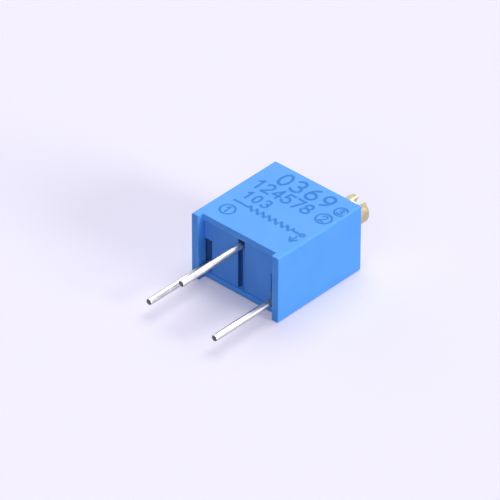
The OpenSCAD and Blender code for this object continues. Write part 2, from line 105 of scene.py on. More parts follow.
def outward(points, faces):
    """The faces, turned over if the volume that they enclose comes out negative."""
    volume = 0.0
    for f in faces:
        for k in range(1, f.shape[1] - 1):
            a, b, c = points[f[:, 0]], points[f[:, k]], points[f[:, k + 1]]
            volume += np.einsum("ij,ij->i", a, np.cross(b, c)).sum()
    return faces if volume > 0 else [f[:, ::-1] for f in faces]


def piece(name, shells, material, body, nodes=(), sharp=32, marks=None):
    """One object made of closed shells, put into the frame, smooth but for edges sharper than the
    angle given. It rides on a body, and stands for the CAD nodes given."""
    points, faces, count = [], [], 0
    for p, fs in shells:
        faces += [f + count for f in outward(p, fs)]
        points.append(p)
        count += len(p)
    points = (np.vstack(points) - [0, BODY_L / 2, 0]) * 0.001
    corners = np.concatenate([f.ravel() for f in faces])
    sizes = np.concatenate([np.full(len(f), f.shape[1]) for f in faces])
    mesh = bpy.data.meshes.new(name)
    mesh.vertices.add(len(points))
    mesh.vertices.foreach_set("co", points.astype(np.float32).ravel())
    mesh.loops.add(len(corners))
    mesh.loops.foreach_set("vertex_index", corners.astype(np.int32))
    mesh.polygons.add(len(sizes))
    mesh.polygons.foreach_set("loop_start", np.concatenate([[0], np.cumsum(sizes)[:-1]]).astype(np.int32))
    mesh.update(calc_edges=True)
    mesh.polygons.foreach_set("use_smooth", np.ones(len(sizes), bool))
    mesh.set_sharp_from_angle(angle=math.radians(sharp))
    for marked, values in (marks or {}).items():
        attribute = mesh.attributes.new(marked, "FLOAT", "POINT")
        attribute.data.foreach_set("value", values.astype(np.float32))
    mesh.materials.append(material)
    made = bpy.data.objects.new(name, mesh)
    bpy.context.scene.collection.objects.link(made)
    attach(made, body)
    if nodes:
        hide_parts(*nodes)
    return made


def turned(profile, x, z, steps=72):
    """A profile of (radius, station) points turned round the line along Y through x, z."""
    a = np.linspace(0, 2 * np.pi, steps, endpoint=False)
    r, y = np.array(profile, float).T
    return np.stack([x + r[:, None] * np.cos(a), y[:, None] + 0 * a, z + r[:, None] * np.sin(a)], -1)


def soft_block(low, high, r, steps=4):
    """A box with round edges: a ball whose eight eighths are pulled apart to the box's corners."""
    low, high = np.array(low, float), np.array(high, float)
    centre, reach = (low + high) / 2, (high - low) / 2 - r
    quarter = np.linspace(0, np.pi / 2, steps)
    turn = np.concatenate([quarter + k * np.pi / 2 for k in range(4)])
    rise = np.concatenate([quarter - np.pi / 2, quarter])[:, None]
    side_x = np.repeat([1, -1, -1, 1], steps)
    side_y = np.repeat([1, 1, -1, -1], steps)
    side_z = np.repeat([-1, 1], steps)[:, None]
    lift = np.where(np.arange(2 * steps)[:, None] % (2 * steps - 1) == 0, 0, 1)
    return np.stack([centre[0] + lift * side_x * reach[0] + r * np.cos(rise) * np.cos(turn),
                     centre[1] + lift * side_y * reach[1] + r * np.cos(rise) * np.sin(turn),
                     centre[2] + side_z * reach[2] + r * np.sin(rise) + 0 * turn], -1)


# ---- Marking on the upper face ------------------------------------------------------------------
def arc(x, y, rx, ry, start, end, count=17):
    """Points of an ellipse from one angle to another, in degrees."""
    a = np.radians(np.linspace(start, end, count))
    return np.column_stack([x + rx * np.cos(a), y + ry * np.sin(a)])


def figure(number, x, y, height):
    """The strokes of one plain figure, drawn in a box 0.62 as wide as it is high."""
    strokes = {
        0: [arc(.31, .5, .28, .48, 0, 360)],
        1: [np.array([(.10, .76), (.34, .98), (.34, .02)])],
        2: [np.vstack([arc(.30, .71, .27, .27, 165, -38), [(.03, .02), (.60, .02)]])],
        3: [arc(.28, .74, .26, .24, 150, -90), arc(.28, .26, .30, .25, 90, -150)],
        4: [np.array([(.46, .02), (.46, .98), (.02, .30), (.62, .30)])],
        5: [np.vstack([[(.56, .98), (.12, .98), (.08, .56)], arc(.28, .31, .30, .30, 130, -150)])],
        6: [arc(.31, .30, .28, .28, 0, 360), arc(.66, .30, .63, .68, 180, 112)],
        7: [np.array([(.03, .98), (.60, .98), (.22, .02)])],
        8: [arc(.31, .74, .24, .24, 0, 360), arc(.31, .25, .29, .25, 0, 360)],
        9: [arc(.31, .70, .28, .28, 0, 360), arc(-.04, .70, .63, .68, 0, -68)],
    }[number]
    return [np.array([x - 0.31 * height, y]) + s * height for s in strokes]


def marking_strokes():
    """Every stroke on the upper face, as lines of points in x and y, with its width."""
    drawn = []
    for number, x in ((0, -1.60), (3, -0.55), (6, 0.55), (9, 1.62)):
        drawn += [(s, 0.19) for s in figure(number, x, 5.48, 1.16)]
    for number, x in ((1, -2.42), (2, -1.72), (4, -0.98), (5, -0.24), (7, 0.50), (8, 1.24)):
        drawn += [(s, 0.17) for s in figure(number, x, 4.30, 0.90)]
    for number, x in ((1, -2.16), (0, -1.50), (3, -0.78)):
        drawn += [(s, 0.16) for s in figure(number, x, 3.16, 0.72)]
    # the resistor: a zigzag between two leads, with a wiper arrow
    for x in np.arange(7) * 0.47 - 1.32:
        drawn.append((np.array([(x, 2.80), (x + 0.34, 2.44)]), 0.17))
        drawn.append((np.array([(x + 0.34, 2.44), (x + 0.47, 2.80)]), 0.10))
    drawn.append((np.array([(-2.45, 2.62), (-1.36, 2.62), (-1.32, 2.80)]), 0.15))
    drawn.append((np.array([(1.97, 2.80), (2.06, 2.62), (2.50, 2.62)]), 0.15))
    drawn.append((np.array([(2.60, 2.36), (2.60, 1.80)]), 0.13))
    drawn.append((np.array([(2.36, 2.06), (2.60, 1.76), (2.84, 2.06)]), 0.15))
    # circled numbers of the three pins
    for number, x, y, r in ((1, -2.10, 1.66, 0.46), (2, 2.56, 4.68, 0.48), (3, 2.86, 5.84, 0.40)):
        drawn.append((arc(x, y, r, r, 0, 360, 33), 0.13))
        drawn += [(s, 0.12) for s in figure(number, x, y - 0.62 * r, 1.24 * r)]
    drawn.append((arc(2.76, 2.64, 0.13, 0.13, 0, 360), 0.14))
    return drawn


def marking_depth(x, y, soft=0.045):
    """How far into a stroke each point lies: 1 inside, 0 outside, with a smooth step as wide as the
    softness at its border. The distance to a stroke is that to the nearest of its straight parts."""
    inside = np.zeros(x.shape)
    for line, width in marking_strokes():
        near = ((x > line[:, 0].min() - width) & (x < line[:, 0].max() + width)
                & (y > line[:, 1].min() - width) & (y < line[:, 1].max() + width))
        px, py = x[near][:, None], y[near][:, None]
        a, run = line[:-1], np.diff(line, axis=0)
        share = np.clip(((px - a[:, 0]) * run[:, 0] + (py - a[:, 1]) * run[:, 1]) / (run ** 2).sum(1), 0, 1)
        gap = np.hypot(px - a[:, 0] - share * run[:, 0], py - a[:, 1] - share * run[:, 1]).min(1)
        step = np.clip((width / 2 + soft - gap) / (2 * soft), 0, 1)
        inside[near] = np.maximum(inside[near], step * step * (3 - 2 * step))
    return inside


# ---- Housing ------------------------------------------------------------------------------------
def housing_columns():
    """The columns of the housing's grid, once round its section from the middle of the resting face:
    for each, its point on the outer wall, how far it may be drawn in there, the station of its front
    edge, and its point on the cavity's wall. The front edge steps back between the feet."""
    def edge(count, fine):
        """Half of a wide wall, from the middle to the corner's arc: x, and where the front edge is."""
        notch_x = np.array([CAVITY_X - 0.03, CAVITY_X - 0.010, CAVITY_X - 0.001, CAVITY_X + 0.001,
                            CAVITY_X + 0.001 + LIP_R * 0.29, CAVITY_X + 0.001 + LIP_R])
        share = np.array([1.0, 0.975, 0.92, 0.0, 0.0, 0.0])
        front = np.array([0, 0, 0, LIP_R, LIP_R * 0.29, 0.0])
        flat = np.linspace(0, CAVITY_X - LIP_R, count)
        foot = np.linspace(CAVITY_X + 2 * LIP_R, BODY_W / 2 - EDGE_R, fine)
        x = np.concatenate([flat, notch_x, foot])
        back = np.concatenate([np.ones(count), share, np.zeros(fine)])
        return x, back, np.concatenate([np.zeros(count), front, np.zeros(fine)])

    step = 0.03

    def wide_wall(count, fine, setback, z_out, z_in):
        """A wide wall's two halves: from the middle to the right corner, and back from the left one."""
        x, back, front = edge(count, fine)
        beyond = np.arange(len(x)) - (count + 2)
        in_x = np.where(beyond > 0, CAVITY_X, np.minimum(x, CAVITY_X - 0.002))
        in_z = z_in - np.sign(z_in - BODY_T / 2) * np.clip(beyond, 0, None) * step
        half = np.column_stack([x, np.full(len(x), z_out), back * setback + front, in_x, in_z])
        return half, half[::-1] * [-1, 1, 1, -1, 1]

    low_right, low_left = wide_wall(14, 4, BOTTOM_SETBACK, 0.0, CAVITY_LOW)
    high_right, high_left = wide_wall(96, 8, TOP_SETBACK, BODY_T, CAVITY_HIGH)
    turn = np.radians([15, 30, 45, 60, 75])
    rise = np.linspace(EDGE_R, BODY_T - EDGE_R, 13)
    corner_x = BODY_W / 2 - EDGE_R + EDGE_R * np.sin(turn)
    side_x = np.concatenate([corner_x, np.full(len(rise), BODY_W / 2), corner_x[::-1]])
    side_z = np.concatenate([EDGE_R - EDGE_R * np.cos(turn), rise,
                             BODY_T - EDGE_R + EDGE_R * np.cos(turn[::-1])])
    in_z = np.linspace(low_right[-1, 4] + step, high_right[-1, 4] - step, len(side_x))
    side = np.column_stack([side_x, side_z, 0 * side_x, np.full(len(side_x), CAVITY_X), in_z])
    other_side = side[::-1] * [-1, 1, 1, -1, 1]
    return np.vstack([low_right, side, high_right[::-1][:-1], high_left[::-1], other_side, low_left[:-1]])


def housing_skin():
    """The housing as one grid that closes on itself both ways. Its columns go round the section.
    Its rows go from the screw's bore over the end face, along the outer walls to the front edge,
    round it, back along the cavity's walls, over the cavity's end and the bearing block's face,
    and through the bore to where they began. The marking is sunk into the upper face."""
    out_x, out_z, front, in_x, in_z = housing_columns().T
    nose = np.where((out_z == 0) & (abs(out_x) < CAVITY_X - 0.02), NOSE_R, LIP_R)
    middle = BODY_T / 2
    fifths = np.radians([18, 36, 54, 72, 90])
    rows = []

    def row(x, y, z):
        rows.append(np.column_stack([x, np.broadcast_to(y, x.shape), z]))

    def drawn_in(by):
        """The outer section, drawn in all round by a distance, which grows from none where a flat
        wall ends to the whole at its corner."""
        near_x = np.clip((abs(out_x) - (BODY_W / 2 - EDGE_R)) / EDGE_R, 0, 1)
        near_z = np.clip((abs(out_z - middle) - (middle - EDGE_R)) / EDGE_R, 0, 1)
        return out_x - np.sign(out_x) * by * near_x, out_z - np.sign(out_z - middle) * by * near_z

    def circle(r, of_x, of_z):
        a = np.arctan2(of_z - SCREW_Z, of_x - SCREW_X)
        return SCREW_X + r * np.cos(a), SCREW_Z + r * np.sin(a)

    # the bore's mouth and the end face
    for wider, y in ((0, BODY_L - 0.05), (0.006, BODY_L - 0.022), (0.022, BODY_L - 0.006), (0.05, BODY_L)):
        hole_x, hole_z = circle(BORE_R + wider, out_x, out_z)
        row(hole_x, y, hole_z)
    rim_x, rim_z = drawn_in(END_R)
    for share in (0.25, 0.5, 0.75, 1.0):
        row(hole_x + (rim_x - hole_x) * share, BODY_L, hole_z + (rim_z - hole_z) * share)
    for a in fifths:
        x, z = drawn_in(END_R * (1 - math.sin(a)))
        row(x, BODY_L - END_R * (1 - math.cos(a)), z)
    # outer walls, with the marking sunk into the upper one
    walls = np.arange(MARKED_HIGH, MARKED_LOW, -MARKED_STEP)
    last = front + nose + (MARKED_LOW - front - nose) * np.array([0.75, 0.5, 0.25, 0.08, 0.0])[:, None]
    y = np.concatenate([np.broadcast_to(walls[:, None], (len(walls), len(out_x))), last])
    upper = np.where((out_z == BODY_T) & (abs(out_x) < BODY_W / 2 - EDGE_R), 1.0, 0.0)
    sunk = upper * marking_depth(np.broadcast_to(out_x, y.shape), y)
    first = len(rows)
    for k in range(len(y)):
        row(out_x, y[k], out_z - MARK_DEPTH * sunk[k])
    # round the front edge, over it and into the cavity
    for a in fifths:
        x, z = drawn_in(nose * (1 - math.cos(a)))
        row(x, front + nose * (1 - math.sin(a)), z)
    lip_x, lip_z = drawn_in(nose)
    grown_x = in_x + np.sign(in_x) * np.where(abs(in_x) >= CAVITY_X, LIP_R, 0)
    grown_z = in_z + np.sign(in_z - middle) * np.where(abs(in_x) < CAVITY_X, LIP_R, 0)
    for share in (0.33, 0.66, 1.0):
        row(lip_x + (grown_x - lip_x) * share, front, lip_z + (grown_z - lip_z) * share)
    for a in np.radians([30, 60, 90]):
        s = 1 - math.sin(a)
        row(in_x + (grown_x - in_x) * s, front + LIP_R * (1 - math.cos(a)), in_z + (grown_z - in_z) * s)
    for y_in in (0.9, 2.5, 4.0, BORE_IN):
        row(in_x, y_in, in_z)
    # the cavity's end, the bearing block and the bore
    away = np.hypot(in_x - SCREW_X, in_z - SCREW_Z)
    wide = np.maximum(away, BORE_R + 0.006) / away
    bay_x, bay_z = SCREW_X + (in_x - SCREW_X) * wide, SCREW_Z + (in_z - SCREW_Z) * wide
    row(bay_x, BORE_IN + 0.001, bay_z)
    end_y = np.where(bay_x < BLOCK_X, CAVITY_Y, BLOCK_Y)
    row(bay_x, BLOCK_Y - 0.01, bay_z)
    row(bay_x, end_y, bay_z)
    seat_x, seat_z = circle(BORE_R, bay_x, bay_z)
    cross = np.clip((BLOCK_X - bay_x) / np.where(abs(seat_x - bay_x) < 1e-6, 1, seat_x - bay_x), 0.02, 1)
    cross = np.where(bay_x < BLOCK_X, cross, 0.02)
    row(bay_x + (seat_x - bay_x) * cross, end_y, bay_z + (seat_z - bay_z) * cross)
    cross = cross + 0.01
    row(bay_x + (seat_x - bay_x) * cross, BLOCK_Y, bay_z + (seat_z - bay_z) * cross)
    row(seat_x, BLOCK_Y, seat_z)
    spin = np.arctan2(out_z - SCREW_Z, out_x - SCREW_X)
    start = np.arctan2(seat_z - SCREW_Z, seat_x - SCREW_X)
    drift = (spin - start + np.pi) % (2 * np.pi) - np.pi
    for share, y_in in ((0.3, 6.1), (0.7, 6.6), (1.0, 6.95)):
        a = start + drift * share
        row(SCREW_X + BORE_R * np.cos(a), y_in, SCREW_Z + BORE_R * np.sin(a))
    grid = np.stack(rows)
    marks = np.zeros(grid.shape[:2])
    marks[first:first + len(y)] = sunk
    return grid, marks


def inner_mouldings():
    """What the mould leaves standing in the cavity: ledges and stop for the ceramic plate, and the
    pivot of the wheel with its shoulder, a stepped profile turned round an upright line."""
    a = np.linspace(0, 2 * np.pi, 64, endpoint=False)
    profile = np.array([(PIVOT_R - 0.05, PIVOT_LOW), (PIVOT_R, PIVOT_LOW + 0.05),
                        (PIVOT_R, SHOULDER_LOW - EASE), (PIVOT_R + EASE, SHOULDER_LOW),
                        (SHOULDER_R - EASE, SHOULDER_LOW), (SHOULDER_R, SHOULDER_LOW + EASE),
                        (SHOULDER_R, CAVITY_HIGH + LEDGE_R)])
    r, z = profile[:, :1], profile[:, 1:]
    pivot = np.stack([WHEEL_X + r * np.cos(a), WHEEL_Y + r * np.sin(a), z + 0 * a], -1)
    # each block runs into the walls beside it by its own rounding
    wall, end = CAVITY_X + LEDGE_R, CAVITY_Y + LEDGE_R
    ledge_right = soft_block([LEDGE_X, PLUG_BACK, LEDGE_LOW], [wall, end, PLATE_LOW], LEDGE_R)
    ledge_left = soft_block([-wall, PLUG_BACK, LEDGE_LOW], [-LEDGE_X, end, PLATE_LOW], LEDGE_R)
    stop = soft_block([-wall, PLATE_STOP, LEDGE_LOW], [BLOCK_X + LEDGE_R, end, PLATE_TOP], LEDGE_R)
    return [shell(pivot), shell(ledge_right), shell(ledge_left), shell(stop)]


# ---- Base plug ------------------------------------------------------------------------------------
def steps_round(stops, r, spread):
    """Grid lines over a range, close together at each stop so that a rounded edge is drawn there."""
    near = np.array([-1.0, -0.72, -0.4, -0.15, 0.0]) * r
    lines = [np.linspace(stops[0], stops[-1], spread)]
    for s in stops:
        lines += [s + near, s - near, [s - 0.006, s + 0.006]]
    lines = np.unique(np.round(np.concatenate(lines), 4))
    return lines[(lines >= stops[0]) & (lines <= stops[-1])]


def pocket(x, z, low, high, depth, r):
    """Depth of a rectangular pocket at each point: the full depth inside, none outside, and a round
    brim where the surface turns in. Its sides lean by less than 1 in 80."""
    inside = np.minimum(np.minimum(x - low[0], high[0] - x), np.minimum(z - low[1], high[1] - z))
    brim = np.clip(1 + inside / r, 0, 1)
    return np.where(inside > 0.005, depth, r * (1 - np.sqrt(1 - brim * brim)) * (inside <= 0.005))


def slab(gx, gz, front, back):
    """A closed block between two height fields over one grid of x and z: the front points, the back
    points, and a strip of faces round their common border."""
    rows, columns = gx.shape
    points = np.vstack([np.stack([gx, y, gz], -1).reshape(-1, 3) for y in (front, back)])
    faces = [wrapped(rows, columns, False, False),
             wrapped(rows, columns, False, False, rows * columns)[:, ::-1]]
    index = np.arange(rows * columns).reshape(rows, columns)
    ring = np.concatenate([index[0, :-1], index[:-1, -1], index[-1, :0:-1], index[:0:-1, 0]])
    after = np.roll(ring, -1)
    faces.append(np.column_stack([ring, ring + rows * columns, after + rows * columns, after]))
    return points, faces


def plug_block():
    """The plug's block: two height fields, front and back, over one grid of x and z, joined round
    their border. The front has the three slots for the pins and the shallow groove below the middle
    one, the back has the slots' other halves and the bearing of the screw's tail."""
    half, low, high = CAVITY_X - PLUG_GAP, CAVITY_LOW + PLUG_GAP, CAVITY_HIGH - PLUG_GAP
    inner, window, round_tail = PIN_X - SLOT_W / 2, SLOT_W / 2, 0.45
    x = steps_round([-half, -inner, -window, window, inner, half], LIP_R, 24)
    x = np.unique(np.concatenate([x, np.linspace(SCREW_X - round_tail, half, 24)]))
    z = steps_round([low, SLOT_LOW, PLATE_TOP, SLOT_HIGH, WINDOW_LOW, WINDOW_HIGH, high], LIP_R, 24)
    z = np.unique(np.concatenate([z, np.linspace(SCREW_Z - round_tail, SCREW_Z + round_tail, 30)]))
    gx, gz = np.meshgrid(x, z)
    border = np.minimum(half - abs(gx), np.minimum(gz - low, high - gz))
    brim = np.clip(1 - border / LIP_R, 0, 1)
    front = PLUG_FRONT + LIP_R * (1 - np.sqrt(1 - brim * brim))
    through = SLOT_SPLIT - PLUG_FRONT
    slots = [((-half - 1, SLOT_LOW), (-inner, SLOT_HIGH)), ((inner, SLOT_LOW), (half + 1, SLOT_HIGH))]
    middle = [((-window, WINDOW_LOW), (window, WINDOW_HIGH), through),
              ((-window, low - 1), (window, WINDOW_LOW + 0.1), GROOVE_DEPTH)]
    for start, end, depth in [(*slot, through) for slot in slots] + middle:
        front = np.maximum(front, PLUG_FRONT + pocket(gx, gz, start, end, depth, LIP_R))
    back, from_behind = np.full(gx.shape, PLUG_BACK), PLUG_BACK - SLOT_SPLIT - SLOT_SKIN
    for start, end in slots + [((-window, PLATE_TOP), (window, WINDOW_HIGH))]:
        back = np.minimum(back, PLUG_BACK - pocket(gx, gz, start, end, from_behind, 0.02))
    back = np.where(np.hypot(gx - SCREW_X, gz - SCREW_Z) < TAIL_BORE_R, TAIL_SEAT_Y, back)
    back = np.maximum(back, front + 0.005)
    return slab(gx, gz, front, back)


def tail_bearing():
    """The bearing boss at the back of the plug: a ring profile turned round the screw's axis."""
    outer, inner, back = TAIL_BOSS_R, TAIL_BORE_R, PLUG_BACK - 0.05
    profile = [(inner, back), (outer, back), (outer, TAIL_BOSS_Y - EASE), (outer - EASE, TAIL_BOSS_Y),
               (inner + EASE, TAIL_BOSS_Y), (inner, TAIL_BOSS_Y - EASE)]
    return shell(turned(profile, SCREW_X, SCREW_Z), close_rows=True)


# ---- Potting, with painted shade sheets down the groove and up the slot walls -----------------------
def resin_pour(low, high, level, climb_and_shade, wire, back):
    """Resin in one slot: a level pool that rises towards its walls and its wire, partly a real meniscus and
    partly a dark coat laid up the walls as painted shade. The rise falls off with the distance to them as e
    to the power of minus that distance over its width."""
    across = np.concatenate([[0, 0.012, 0.03, 0.055, 0.09], np.linspace(0.13, 0.87, 26),
                             [0.91, 0.945, 0.97, 0.988, 1]])
    gx, gz = np.meshgrid(low[0] + (high[0] - low[0]) * across, np.linspace(low[1], high[1], 90))
    wall = np.minimum(np.minimum(gx - low[0], high[0] - gx), high[1] - gz)
    to_wire = np.clip(np.hypot(gx - wire[0], gz - wire[1]) - PIN_R, 0, None)
    creep_and_shade = np.maximum(np.exp(-wall / CREEP_AND_SHADE_WIDTH), 0.55 * np.exp(-to_wire / WIRE_CREEP_AND_SHADE_WIDTH))
    return slab(gx, gz, level(gz) - climb_and_shade(gz) * creep_and_shade, back(gz))


def resin_and_shade_sheets():
    """The three pours: one in each outer slot, and one in the window over the middle pin. Below the window
    it thins to a dark sheet lining the groove: painted shade over plastic that is only in shadow there."""
    def even(value):
        return lambda z: value + 0 * z

    def in_window(inside, below):
        return lambda z: below + (inside - below) * np.clip((z - WINDOW_LOW) / 0.08, 0, 1)

    pours = []
    for side in (-1, 1):
        start, end = sorted((side * CAVITY_X, side * (PIN_X - SLOT_W / 2)))
        pours.append(resin_pour((start, SLOT_LOW), (end, SLOT_HIGH), even(RESIN_OUTER), even(CREEP_AND_SHADE_OUTER),
                                (side * PIN_X, PIN_LOW), even(RESIN_BACK)))
    groove = PLUG_FRONT + GROOVE_DEPTH
    # below the window: a thin dark sheet over the groove's floor and walls, painted shade
    pours.append(resin_pour((-SLOT_W / 2, CAVITY_LOW + PLUG_GAP), (SLOT_W / 2, WINDOW_HIGH),
                            in_window(RESIN_WINDOW, groove + SHADE_SHEET), in_window(CREEP_AND_SHADE_WINDOW, SHADE_SHEET_RISE),
                            (0.0, PIN_HIGH), in_window(RESIN_BACK, groove + SHADE_SHEET_BACK)))
    return pours


# ---- Pins -----------------------------------------------------------------------------------------
def pin_wire(x, z_out):
    """A pin: circles carried along its line, which runs straight in, turns up or down through a
    quarter circle, and through another onto the ceramic plate. Its outer end is sheared: the wire
    narrows over the last 0.03 mm and the cut is a little uneven. The last value is 1 on the cut."""
    turn = 1 if z_out < WIRE_Z else -1
    tip, before, after = -PIN_REACH, JOG_Y - BEND_R, JOG_Y + BEND_R
    straight = np.concatenate([tip + np.array([0, 0.004, 0.012, 0.03, 0.08]),
                               np.linspace(tip + 0.2, before, 44)])
    sweep = np.radians(np.linspace(0, 90, 12)[1:])
    lap = np.linspace(after, LAP_Y, 4)[1:]
    y = np.concatenate([straight, before + BEND_R * np.sin(sweep), after - BEND_R * np.cos(sweep), lap])
    z = np.concatenate([np.full(len(straight), z_out), z_out + turn * BEND_R * (1 - np.cos(sweep)),
                        WIRE_Z - turn * BEND_R * (1 - np.sin(sweep)), np.full(len(lap), WIRE_Z)])
    lean = turn * np.concatenate([0 * straight, sweep, np.pi / 2 - sweep, 0 * lap])
    r = np.where(y < 0, PIN_R, np.interp(np.arange(len(y)), [44, len(y) - 1], [PIN_R, WIRE_R]))
    r[:4] = PIN_R - np.array([0.022, 0.010, 0.004, 0.001])
    # the drawn wire's small waves
    r[5:45] -= 0.0015 * (1 + np.sin(y[5:45] * 3.1 + x * 5) * np.sin(y[5:45] * 7.3 + 1.7))
    a = np.linspace(0, 2 * np.pi, 40, endpoint=False)
    ring_y = y[:, None] - r[:, None] * np.sin(a) * np.sin(lean)[:, None]
    ring_z = z[:, None] + r[:, None] * np.sin(a) * np.cos(lean)[:, None]
    grid = np.stack([x + r[:, None] * np.cos(a), ring_y, ring_z], -1)
    # the cut end: shallow rings that step in to the middle of the wire
    face = []
    for share, sink in ((0.15, 0.010), (0.45, 0.014), (0.75, 0.006), (0.93, 0.0)):
        ring = grid[0] * [share, 1, share] + np.array([x, 0, z_out]) * [1 - share, 0, 1 - share]
        ring[:, 1] = tip + sink + 0.006 * np.sin(a * 2 + x) * share ** 2 + 0.006
        face.append(ring)
    points, faces = shell(np.concatenate([np.stack(face), grid]))
    cut = np.zeros(len(points))
    cut[:len(face) * len(a)] = cut[-2] = 1
    return points, faces, cut


# ---- Screw ----------------------------------------------------------------------------------------
def screw_head():
    """The head, cut into slices across its driving slot. A slice's section is a box as long as the
    chord there. It reaches up to the slot's floor within the slot and to the chamfer or the face
    beside it. The slices lie at even angles round the head, so their ends make its round wall."""
    half_slot, height = DRIVE_W / 2, HEAD_OUT - HEAD_IN
    shoulder = height - HEAD_CHAMFER
    turns = np.concatenate([np.arange(-89.5, -15, 2.5), np.arange(16, 90.5, 2.5)])
    across = HEAD_R * np.sin(np.radians(turns))
    slot = np.array([-half_slot + 0.03, 0.0, half_slot - 0.03])
    wall = (half_slot + np.array([-0.001, 0.001, 0.02])) * np.array([[-1], [1]])
    across = np.unique(np.concatenate([across[abs(across) > half_slot + 0.025], slot, wall.ravel()]))
    away = abs(across)
    top = np.minimum(height, shoulder + np.clip(HEAD_R - away, 0, None))
    in_slot = away < half_slot
    top = np.where(in_slot, height - DRIVE_DEPTH, np.where(away < half_slot + 0.01, height - 0.02, top))
    levels = np.array([0.0, 0.3, 0.7, 0.95, 1.0])
    h = np.minimum(levels * shoulder, top[:, None])
    h = np.column_stack([h, np.minimum(height - HEAD_CHAMFER / 2, top), top])
    h[:, 0] = 0
    r = HEAD_R - np.clip(h - shoulder, 0, None)
    reach = np.sqrt(np.clip(r * r - across[:, None] ** 2, 1e-6, None))
    flat = np.linspace(1, -1, 12)[None, 1:-1]
    along = np.hstack([reach, reach[:, -1:] * flat, -reach[:, ::-1], reach[:, :1] * -flat])
    up = np.hstack([h, h[:, -1:] + 0 * flat, h[:, ::-1], 0 * flat + 0 * h[:, :1]])
    c, s = math.cos(math.radians(DRIVE_ANGLE)), math.sin(math.radians(DRIVE_ANGLE))
    wide = across[:, None] + 0 * along
    x, z = SCREW_X + along * c - wide * s, SCREW_Z + along * s + wide * c
    return shell(np.stack([x, HEAD_IN + up, z], -1))


def screw_shaft():
    """The rest of the screw: a stepped profile turned round its axis, with its tail's end eased."""
    profile = [(WORM_ROOT_R - EASE, TAIL_Y), (WORM_ROOT_R, TAIL_Y + EASE), (WORM_ROOT_R, WORM_HIGH),
               (COLLAR_R, WORM_HIGH), (COLLAR_R, CLIP_LOW), (WORM_ROOT_R, CLIP_LOW),
               (WORM_ROOT_R, JOURNAL_LOW), (HEAD_R, JOURNAL_LOW), (HEAD_R, RING_LOW), (NECK_R, RING_LOW),
               (NECK_R, HEAD_IN + 0.02)]
    return shell(turned(profile, SCREW_X, SCREW_Z))


def worm_thread():
    """The worm: a trapezium with eased crests carried along a right-hand helix. It grows out of the
    core over a quarter turn at each end."""
    flank, tooth = math.tan(math.radians(PRESSURE_ANGLE)), (LEAD - MESH_GAP) / 2
    sunk, start_r = WORM_ROOT_R - THREAD_SUNK, WORM_ROOT_R - THREAD_START

    def half_width(r):
        return tooth / 2 + (WORM_PITCH_R - r) * flank

    low = WORM_LOW + half_width(sunk)
    length = WORM_HIGH - WORM_LOW - 2 * half_width(sunk)
    turns = math.floor(length / LEAD * THREAD_STEPS) / THREAD_STEPS
    t = np.linspace(0, turns, int(turns * 72))[:, None]
    grow = np.minimum(1, np.minimum(t, turns - t) * 4)
    tip = start_r + (WORM_R - start_r) * grow
    crest = np.maximum(tip - 0.02, sunk + 0.01)
    r = np.hstack([sunk + 0 * t, crest, tip, tip, crest, sunk + 0 * t])
    side = np.array([-1, -1, -0.9, 0.9, 1, 1])
    start = math.radians(270) + 2 * math.pi * (low - WHEEL_Y + LEAD / 2) / LEAD
    turn = start + 2 * np.pi * t
    along = low + LEAD * t + side * half_width(r)
    return shell(np.stack([SCREW_X + r * np.sin(turn), along, SCREW_Z + r * np.cos(turn)], -1))


# ---- Materials ------------------------------------------------------------------------------------
def linear(red, green, blue):
    """A colour written as it shows on a screen, 0 to 255, as the light values that Blender takes."""
    c = np.array([red, green, blue]) / 255
    return (*np.where(c <= 0.04045, c / 12.92, ((c + 0.055) / 1.055) ** 2.4), 1.0)


